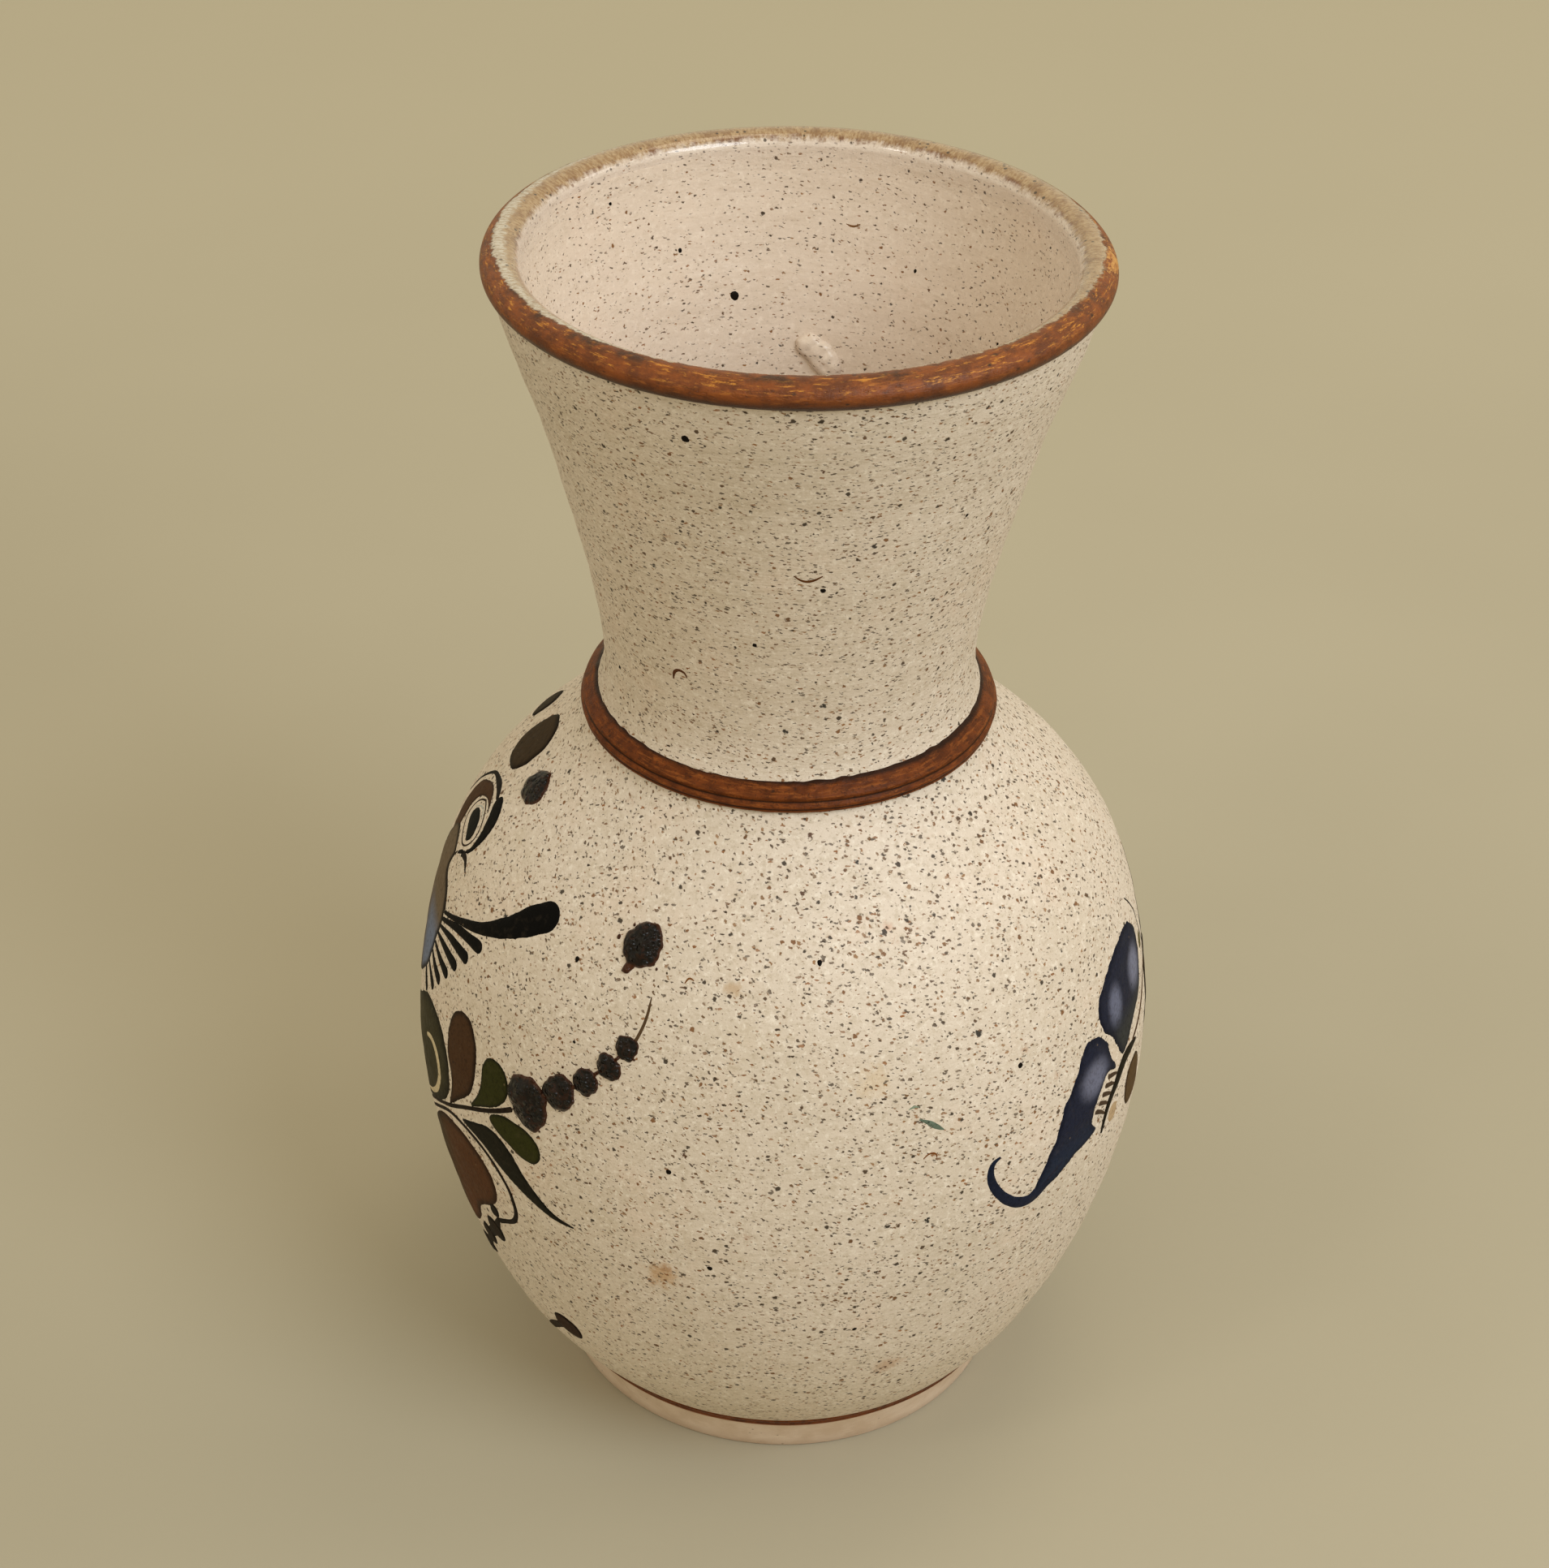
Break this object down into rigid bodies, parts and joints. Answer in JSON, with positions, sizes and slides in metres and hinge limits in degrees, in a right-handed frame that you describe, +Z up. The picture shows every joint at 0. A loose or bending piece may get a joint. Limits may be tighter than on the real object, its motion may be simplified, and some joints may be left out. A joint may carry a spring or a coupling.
{
  "type": "ceramic vase",
  "caption": "Round-bellied stoneware vase with a flared neck, rolled brown lip, neck cordon and painted bird and butterfly, for cut flowers.",
  "frame": {"origin": "centre of the plane the foot ring stands on", "axes": "+Z up the pot's axis of rotation, -Y towards the side between the bird and the butterfly, +X towards the butterfly"},
  "size_m": [0.1514, 0.1514, 0.255],
  "materials": {
    "cream_glaze": "satin oatmeal glaze with fine iron specks",
    "lip_slip": "satin iron-brown slip, ochre and worn over the crown",
    "iron_slip": "satin iron-brown slip",
    "gloss_slip": "thick glossy dark brown slip",
    "bare_clay": "turned, unglazed buff clay"
  },
  "bodies": {
    "root": {"belly": "cream_glaze", "neck": "cream_glaze", "rim_roll": "lip_slip", "neck_cordon": "iron_slip", "foot_ring": "bare_clay", "foot_line": "iron_slip", "berry_1": "gloss_slip", "berry_2": "gloss_slip", "berry_3": "gloss_slip", "berry_4": "gloss_slip", "berry_5": "gloss_slip", "shoulder_drop": "gloss_slip", "crest_drop": "gloss_slip"}
  },
  "joints": []
}
